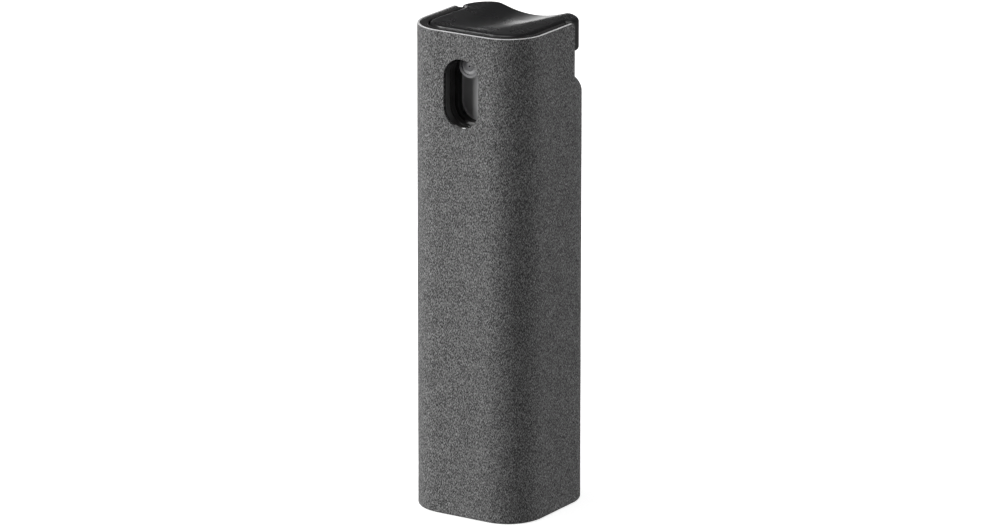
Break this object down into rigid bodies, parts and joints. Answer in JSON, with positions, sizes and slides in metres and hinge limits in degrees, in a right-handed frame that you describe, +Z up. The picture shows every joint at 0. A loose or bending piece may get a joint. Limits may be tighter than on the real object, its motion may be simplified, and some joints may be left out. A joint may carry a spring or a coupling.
{
  "type": "lens cleaning spray",
  "caption": "Pocket lens and screen cleaning spray: a microfibre-covered square case with a front spray slot around a lift-out mist bottle with a thumb press head.",
  "frame": {"origin": "middle of the base, on the surface the case stands on", "axes": "+Z up the case, +X across it, -Y towards the spray slot"},
  "size_m": [0.0246, 0.025, 0.0881],
  "materials": {
    "microfibre": "fine grey suede-like nap",
    "base_microfibre": "fine grey suede-like nap",
    "case_abs": "gloss black moulding",
    "bottle_pet": "clear, faintly blue",
    "collar_abs": "fine spark-eroded black",
    "closure_pp": "satin black",
    "gasket_pe": "soft white",
    "pump_pp": "natural white",
    "seal_rubber": "black",
    "dip_pe": "milky clear",
    "spring_steel": "bright drawn wire",
    "ball_steel": "polished",
    "stem_pom": "white",
    "piston_pe": "waxy white",
    "head_abs": "semi-matte black",
    "actuator_pp": "gloss black",
    "insert_pom": "gloss black"
  },
  "bodies": {
    "case": {"microfibre_wrap": "microfibre", "case_shell": "case_abs", "base_pad": "base_microfibre"},
    "refill_bottle": {"bottle": "bottle_pet"},
    "pump_unit": {"collar_cover": "collar_abs", "screw_closure": "closure_pp", "neck_gasket": "gasket_pe", "pump_housing": "pump_pp", "pump_turret": "pump_pp", "stem_seal": "seal_rubber", "dip_tube": "dip_pe", "return_spring": "spring_steel"},
    "inlet_ball": {"check_ball": "ball_steel"},
    "head": {"press_head": "head_abs", "spray_actuator": "actuator_pp", "nozzle_insert": "insert_pom", "pump_stem": "stem_pom", "poppet": "stem_pom"},
    "pump_piston": {"piston": "piston_pe"}
  },
  "joints": [
    {"name": "refill_lift", "type": "slide", "parent": "case", "child": "refill_bottle", "axis": [0, 0, 1], "range_m": [0, 0.088]},
    {"name": "pump_unit_lift", "type": "slide", "parent": "refill_bottle", "child": "pump_unit", "axis": [0, 0, 1], "range_m": [0, 0.06]},
    {"name": "head_press", "type": "slide", "parent": "pump_unit", "child": "head", "axis": [0, 0, 1], "range_m": [-0.0045, 0], "stiffness_N_per_m": 1200, "springref_m": 0.004, "deforming": ["return_spring"]},
    {"name": "piston_lag", "type": "slide", "parent": "head", "child": "pump_piston", "axis": [0, 0, 1], "range_m": [0, 0.0006]},
    {"name": "ball_lift", "type": "slide", "parent": "pump_unit", "child": "inlet_ball", "axis": [0, 0, 1], "range_m": [0, 0.0005]}
  ],
  "couplings": [
    {"joint": "piston_lag", "follows": "head_press", "ratio": -0.13333}
  ]
}
